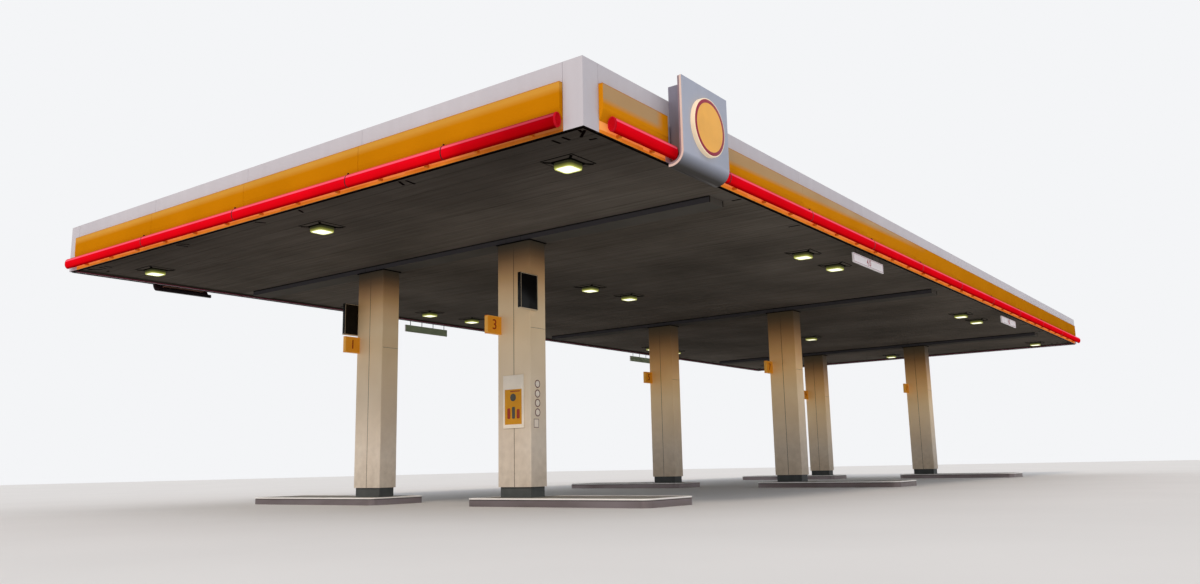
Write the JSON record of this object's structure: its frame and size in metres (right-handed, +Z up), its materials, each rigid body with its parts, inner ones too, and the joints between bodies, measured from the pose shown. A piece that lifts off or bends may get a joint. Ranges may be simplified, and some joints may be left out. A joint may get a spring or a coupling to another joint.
{
  "type": "filling station canopy",
  "caption": "Flat filling station canopy with a lit curved fascia band, light tube and ceiling lights, on clad columns that stand on kerbed islands.",
  "frame": {"origin": "on the ground below the middle of the roof", "axes": "+X along the long side of the roof, +Y across it away from the front fascia, +Z up"},
  "size_m": [27.48, 12.66, 5.365],
  "materials": {
    "concrete": "rough",
    "kerb_steel": "brushed",
    "casing_paint": "satin",
    "structural_steel": "matt",
    "skirt_paint": "satin",
    "collar_rubber": "matt",
    "ceiling_paint": "gloss",
    "zinc_steel": "dull",
    "roof_coating": "satin",
    "fascia_white": "satin",
    "visor_yellow": "gloss",
    "tube_red": "gloss",
    "aluminium": "satin",
    "cabinet_grey": "satin",
    "disc_yellow": "gloss",
    "housing_paint": "satin",
    "lens": "gloss",
    "board_white": "satin",
    "flag_orange": "gloss",
    "sign_black": "gloss"
  },
  "bodies": {
    "root": {"island_1": "concrete", "island_2": "concrete", "island_3": "concrete", "island_4": "concrete", "island_5": "concrete", "island_6": "concrete", "island_kerbs": "kerb_steel", "column_1": "casing_paint", "column_2": "casing_paint", "column_3": "casing_paint", "column_4": "casing_paint", "column_5": "casing_paint", "column_6": "casing_paint", "column_posts": "structural_steel", "column_skirts": "skirt_paint", "column_collars": "collar_rubber", "beam_cover_left": "ceiling_paint", "beam_cover_middle": "ceiling_paint", "beam_cover_right": "ceiling_paint", "main_beams": "structural_steel", "purlins": "zinc_steel", "ceiling_1": "ceiling_paint", "ceiling_2": "ceiling_paint", "ceiling_3": "ceiling_paint", "ceiling_4": "ceiling_paint", "ceiling_trims": "ceiling_paint", "roof_sheet": "roof_coating", "fascia_front": "fascia_white", "fascia_back": "fascia_white", "fascia_left": "fascia_white", "fascia_right": "fascia_white", "fascia_corners": "fascia_white", "fascia_posts": "zinc_steel", "visor_front": "visor_yellow", "visor_back": "visor_yellow", "visor_left": "visor_yellow", "visor_right": "visor_yellow", "tube_front": "tube_red", "tube_back": "tube_red", "tube_left": "tube_red", "tube_right": "tube_red", "tube_cradles": "aluminium", "sign_cabinets": "cabinet_grey", "sign_plates": "fascia_white", "sign_discs": "disc_yellow", "light_housings": "housing_paint", "light_lenses": "lens", "height_boards": "board_white", "number_flags": "flag_orange", "blade_signs": "sign_black"}
  },
  "joints": []
}
